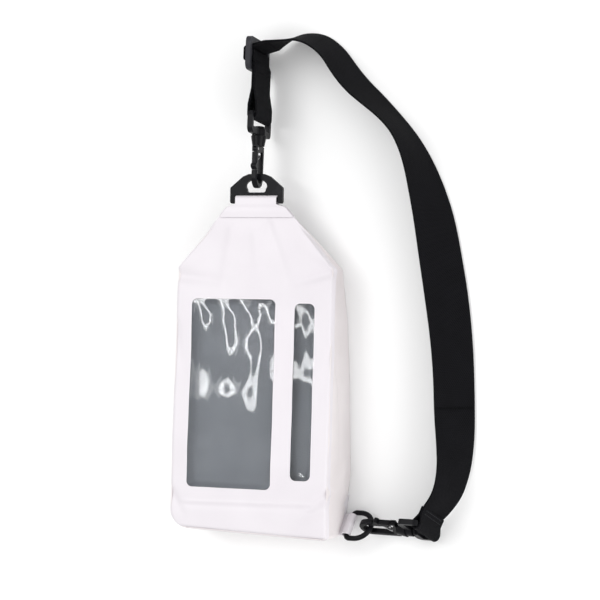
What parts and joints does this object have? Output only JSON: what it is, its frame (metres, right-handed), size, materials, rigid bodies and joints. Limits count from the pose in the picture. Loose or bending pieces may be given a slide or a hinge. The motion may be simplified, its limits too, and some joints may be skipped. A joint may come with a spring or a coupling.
{
  "type": "sling dry bag",
  "caption": "Flat waterproof sling bag with a clear pocket front, pleated sides and a gabled top, carried by a wide adjustable webbing strap with a swivel snap hook at each end.",
  "frame": {"origin": "middle of the back panel's outer face, halfway across the bag; the bag lies on its back on the plane z = 0", "axes": "+Z is the outward normal of the front panel; +Y runs along the bag towards the hang loop; +X points to the side with the strap ring, to the right when the front is looked at with the hang loop up"},
  "size_m": [0.2479, 0.4091, 0.053],
  "materials": {
    "white_pvc": "satin",
    "gusset_pvc": "satin",
    "clear_film": "gloss",
    "lining": "matt",
    "webbing": "woven",
    "thread": "twisted",
    "black_plastic": "satin",
    "black_nylon": "semi gloss",
    "pin_steel": "polished",
    "zip_tape": "matt",
    "zip_plastic": "satin"
  },
  "bodies": {
    "bag": {"front_panel": "white_pvc", "back_panel": "white_pvc", "left_gusset": "gusset_pvc", "right_gusset": "gusset_pvc", "bottom_gusset": "white_pvc", "main_window": "clear_film", "side_window": "clear_film", "pocket_wall": "lining", "top_fold": "white_pvc", "tab_patch": "white_pvc", "side_tab": "white_pvc", "zip_tape": "zip_tape", "zip_teeth": "zip_plastic", "zip_stops": "zip_plastic", "strap_webbing": "webbing"},
    "loop": {"hang_loop": "black_plastic"},
    "ring": {"strap_ring": "black_plastic"},
    "upper_strap": {"upper_base": "black_plastic", "adjuster_webbing": "webbing"},
    "slider": {"strap_slider": "black_plastic", "slider_webbing": "webbing"},
    "upper_clip": {"upper_hook": "black_nylon", "upper_gate_pin": "pin_steel", "upper_gate_spring": "pin_steel"},
    "upper_lever": {"upper_gate": "black_nylon"},
    "lower_strap": {"lower_base": "black_plastic", "strap_end_webbing": "webbing", "strap_end_stitching": "thread"},
    "lower_clip": {"lower_hook": "black_nylon", "lower_gate_pin": "pin_steel", "lower_gate_spring": "pin_steel"},
    "lower_lever": {"lower_gate": "black_nylon"},
    "zip_runner": {"zip_slider": "zip_plastic"},
    "zip_tab": {"zip_pull": "zip_plastic"}
  },
  "joints": [
    {"name": "hang_loop_tilt", "type": "hinge", "parent": "bag", "child": "loop", "pos_m": [0, 0.1602, 0.0332], "axis": [1, 0, 0], "range_deg": [-4, 4]},
    {"name": "upper_swing", "type": "hinge", "parent": "bag", "child": "upper_strap", "pos_m": [0, 0.1785, 0.0332], "axis": [1, 0, 0], "range_deg": [0, 25], "deforming": ["strap_webbing"]},
    {"name": "slider_slide", "type": "slide", "parent": "upper_strap", "child": "slider", "axis": [0, 0.9969, -0.0785], "range_m": [-0.02, 0], "deforming": ["adjuster_webbing"]},
    {"name": "upper_swivel", "type": "hinge", "parent": "upper_strap", "child": "upper_clip", "pos_m": [0, 0.1785, 0.0332], "axis": [0, 0.9969, -0.0785], "range_deg": [-20, 20]},
    {"name": "upper_gate_press", "type": "hinge", "parent": "upper_clip", "child": "upper_lever", "pos_m": [0, 0.20092, 0.03765], "axis": [1, 0, 0], "range_deg": [0, 16], "stiffness_Nm_per_rad": 0.02, "springref_deg": -20.05, "deforming": ["upper_gate_spring"]},
    {"name": "ring_tilt", "type": "hinge", "parent": "bag", "child": "ring", "pos_m": [0.0755, -0.1, 0.012], "axis": [-0.1175, -0.788, 0.6043], "range_deg": [-3, 3]},
    {"name": "lower_swing", "type": "hinge", "parent": "bag", "child": "lower_strap", "pos_m": [0.09405, -0.1, 0.01561], "axis": [-0.1175, -0.788, 0.6043], "range_deg": [0, 30]},
    {"name": "lower_swivel", "type": "hinge", "parent": "lower_strap", "child": "lower_clip", "pos_m": [0.09405, -0.1, 0.01561], "axis": [0.9816, 0, 0.1908], "range_deg": [-20, 20]},
    {"name": "lower_gate_press", "type": "hinge", "parent": "lower_clip", "child": "lower_lever", "pos_m": [0.11472, -0.09618, 0.0246], "axis": [-0.1175, -0.788, 0.6043], "range_deg": [0, 16], "stiffness_Nm_per_rad": 0.02, "springref_deg": -20.05, "deforming": ["lower_gate_spring"]},
    {"name": "zip_slide", "type": "slide", "parent": "bag", "child": "zip_runner", "axis": [1, 0, 0], "range_m": [0, 0.058]},
    {"name": "zip_pull_flip", "type": "hinge", "parent": "zip_runner", "child": "zip_tab", "pos_m": [-0.029, 0.12595, 0.00593], "axis": [0, -0.7918, -0.6108], "range_deg": [0, 160]}
  ]
}
